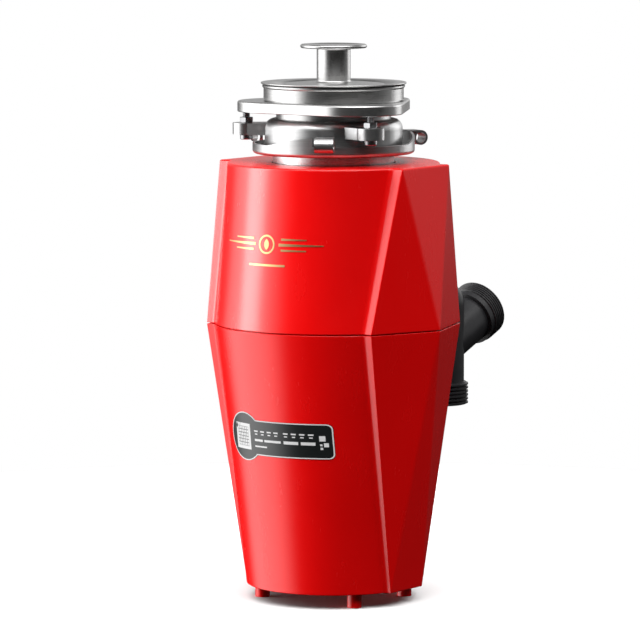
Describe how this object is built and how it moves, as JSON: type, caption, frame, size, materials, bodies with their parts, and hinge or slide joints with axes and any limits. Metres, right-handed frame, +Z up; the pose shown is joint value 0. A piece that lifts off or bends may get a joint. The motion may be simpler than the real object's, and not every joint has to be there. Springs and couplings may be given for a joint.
{
  "type": "kitchen waste disposer",
  "caption": "Under-sink kitchen waste disposer with faceted red cover, three-screw sink mount, stopper, grinding chamber, motor and rear drain tee.",
  "frame": {"origin": "on the rotor axis, on the floor plane, midway between the four feet", "axes": "+Z up along the rotor axis towards the sink, front panel faces -Y, drain leaves at +Y"},
  "size_m": [0.2028, 0.3082, 0.436],
  "materials": {
    "cover_red": "glossy moulded plastic",
    "stainless": "turned and brushed stainless steel",
    "cast_steel": "satin plated steel",
    "zinc_fastener": "zinc plated",
    "black_rubber": "matte",
    "chamber_steel": "pressed stainless steel",
    "cast_aluminium": "as cast",
    "drain_black": "satin moulded plastic",
    "label_black": "printed film",
    "emblem_gold": "foil stamped gold",
    "motor_steel": "drawn steel",
    "lamination": "stacked sheet edges",
    "copper": "enamelled wire",
    "dark_plastic": "moulded",
    "button_red": "moulded",
    "foam": "closed cell foam"
  },
  "bodies": {
    "housing": {"upper_cover": "cover_red", "lower_cover": "cover_red", "base_plate": "cover_red", "feet": "cover_red", "sink_flange": "stainless", "backup_ring": "stainless", "clamp_plate": "stainless", "snap_ring": "stainless", "mount_bell": "cast_steel", "mount_screws": "zinc_fastener", "mount_nuts": "zinc_fastener", "base_screws": "zinc_fastener", "seam_screws": "zinc_fastener", "flange_screws": "zinc_fastener", "floor_screws": "zinc_fastener", "discharge_screws": "zinc_fastener", "through_bolts": "zinc_fastener", "sink_gasket": "black_rubber", "splash_guard": "black_rubber", "hopper_gasket": "black_rubber", "shaft_seal": "black_rubber", "discharge_gasket": "black_rubber", "hopper": "chamber_steel", "grind_ring": "chamber_steel", "grind_chamber": "cast_aluminium", "upper_end_bell": "cast_aluminium", "lower_end_bell": "cast_aluminium", "drain_elbow": "drain_black", "branch_adapter": "drain_black", "label": "label_black", "emblem": "emblem_gold", "motor_can": "motor_steel", "capacitor_bracket": "motor_steel", "discharge_flange": "motor_steel", "upper_bearing": "motor_steel", "lower_bearing": "motor_steel", "stator_core": "lamination", "upper_winding": "copper", "lower_winding": "copper", "overload_protector": "dark_plastic", "cord_gland": "dark_plastic", "terminal_block": "dark_plastic", "start_switch": "dark_plastic", "capacitor": "dark_plastic", "motor_insulation": "foam", "hopper_insulation": "foam"},
    "stopper": {"stopper": "stainless", "stopper_seal": "black_rubber"},
    "lock_ring": {"lock_ring": "cast_steel"},
    "rotor": {"rotor_shaft": "motor_steel", "rotor_core": "lamination", "rotor_cage": "cast_aluminium", "switch_actuator": "dark_plastic", "turntable": "chamber_steel", "turntable_nut": "zinc_fastener", "impeller_pins": "zinc_fastener"},
    "impeller_a": {"impeller_a": "chamber_steel"},
    "impeller_b": {"impeller_b": "chamber_steel"},
    "reset_button": {"reset_button": "button_red"}
  },
  "joints": [
    {"name": "stopper_lift", "type": "slide", "parent": "housing", "child": "stopper", "axis": [0, 0, 1], "range_m": [0, 0.06]},
    {"name": "lock_ring_turn", "type": "hinge", "parent": "housing", "child": "lock_ring", "pos_m": [0, 0, 0.3509], "axis": [0, 0, 1], "range_deg": [-35, 0]},
    {"name": "rotor_spin", "type": "hinge", "parent": "housing", "child": "rotor", "pos_m": [0, 0, 0.11], "axis": [0, 0, 1], "continuous": true},
    {"name": "impeller_a_swivel", "type": "hinge", "parent": "rotor", "child": "impeller_a", "pos_m": [0.038, 0, 0.27], "axis": [0, 0, 1], "continuous": true},
    {"name": "impeller_b_swivel", "type": "hinge", "parent": "rotor", "child": "impeller_b", "pos_m": [-0.038, 0, 0.27], "axis": [0, 0, 1], "continuous": true},
    {"name": "reset_press", "type": "slide", "parent": "housing", "child": "reset_button", "axis": [0, 0, 1], "range_m": [0, 0.002], "stiffness_N_per_m": 600, "springref_m": -0.001}
  ]
}
